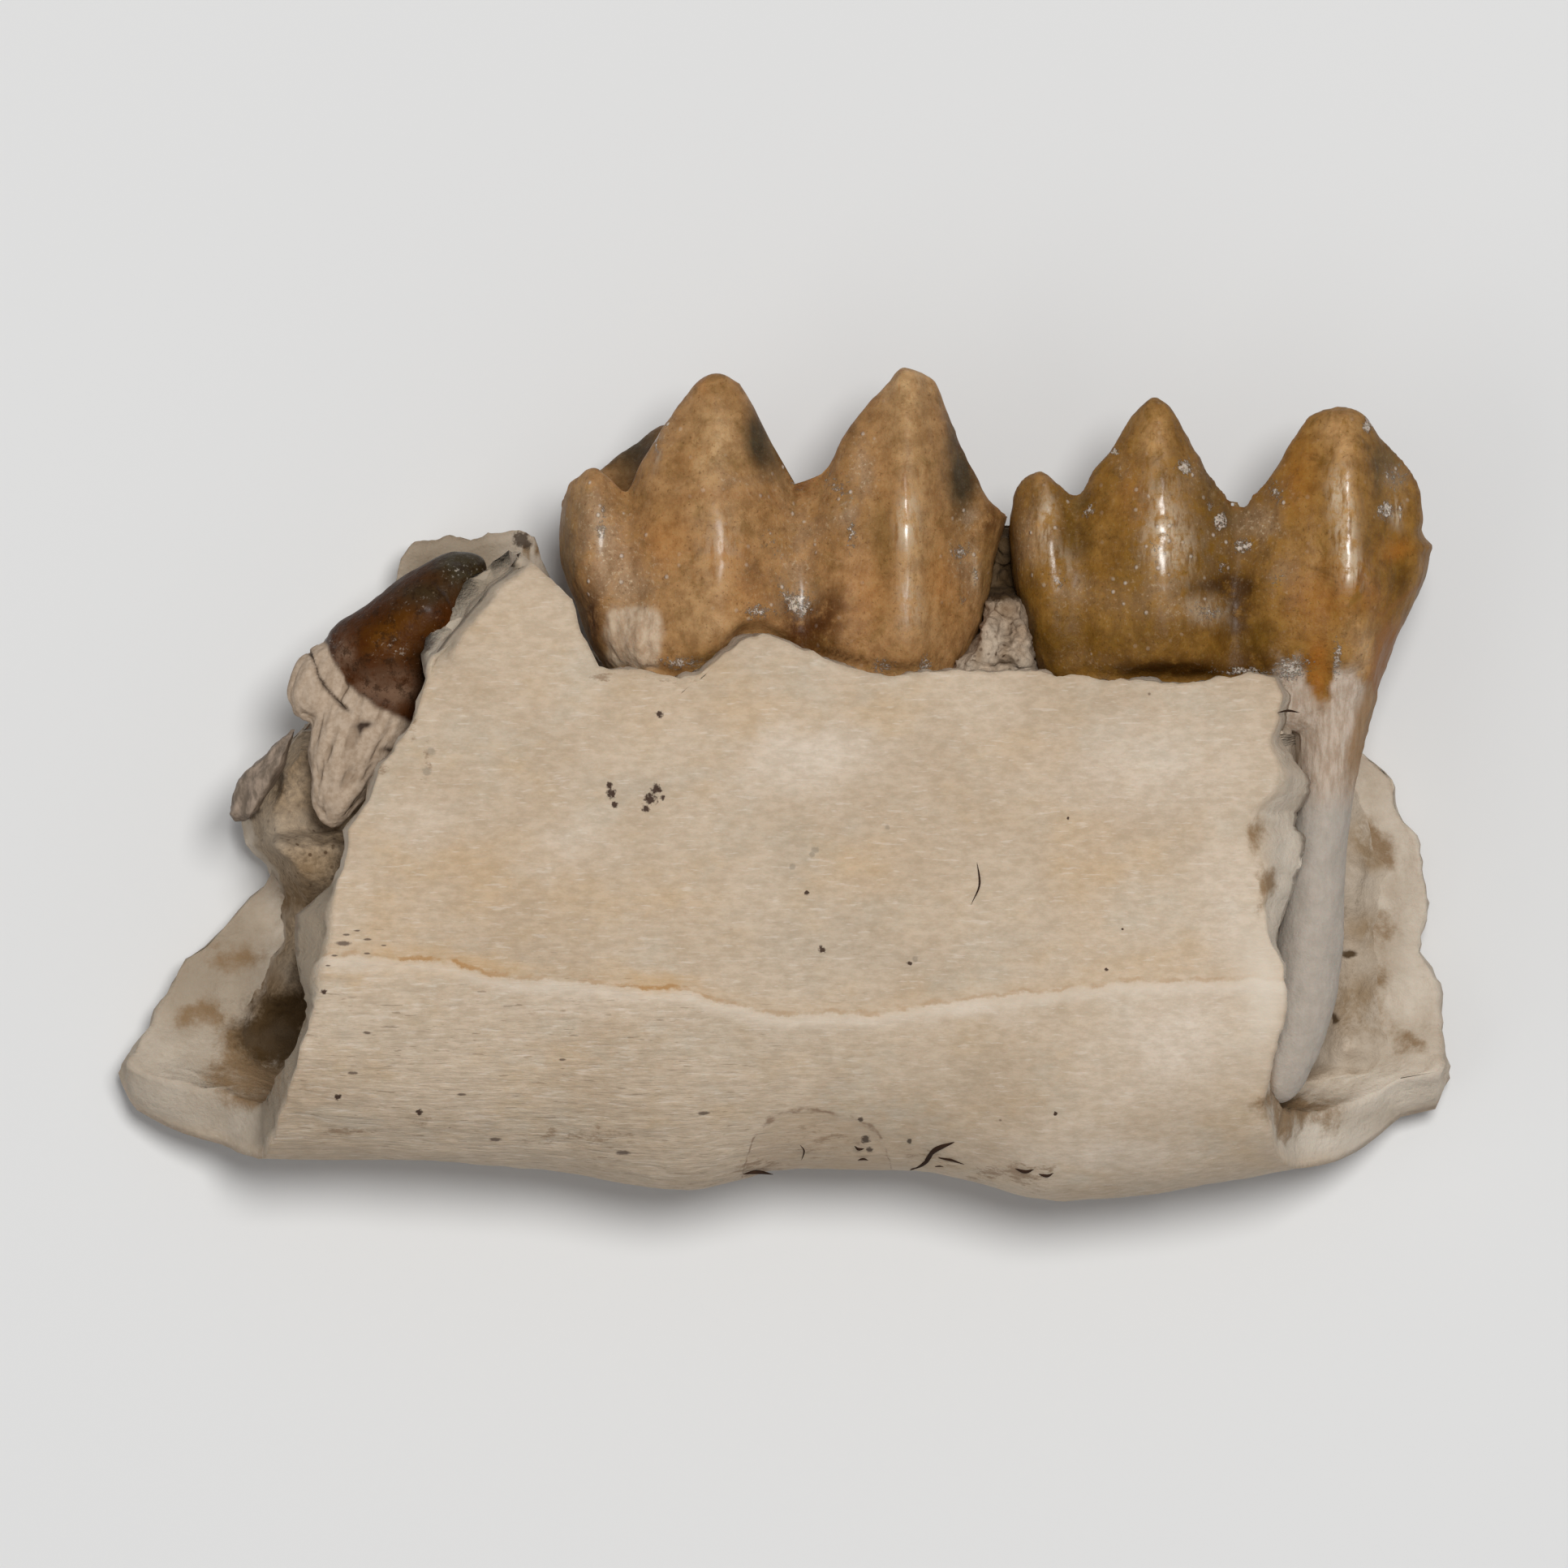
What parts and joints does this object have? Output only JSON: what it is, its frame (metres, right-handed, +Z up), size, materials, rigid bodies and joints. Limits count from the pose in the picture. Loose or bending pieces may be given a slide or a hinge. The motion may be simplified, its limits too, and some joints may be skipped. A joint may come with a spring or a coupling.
{
  "type": "fossil ruminant jaw fragment",
  "caption": "Broken piece of a small fossil ruminant's lower jaw, lying on its side, with amber molars, a dark premolar and sediment in the bone.",
  "frame": {"origin": "centre of the bounding box, on the surface that the jaw lies on", "axes": "+X along the tooth row towards the rear, +Y from the lower border to the cusps, +Z up from the cheek side to the tongue side"},
  "size_m": [0.02, 0.0124, 0.0055],
  "materials": {
    "bone": "dry cream fossil bone with fine fibres, tan stains and dark specks",
    "amber_enamel": "glossy amber brown enamel with pale crust specks",
    "olive_enamel": "glossy amber and olive enamel, its bare root pale grey",
    "dark_enamel": "glossy dark brown enamel over a whitish streaked root",
    "grey_bone": "dull grey bone",
    "sediment": "rough granular brown sediment"
  },
  "bodies": {
    "root": {"jaw_bone": "bone", "middle_molar": "amber_enamel", "rear_molar": "olive_enamel", "premolar": "dark_enamel", "bone_splinter": "grey_bone", "front_sediment": "sediment", "gap_sediment": "sediment", "rear_sediment": "sediment"}
  },
  "joints": []
}
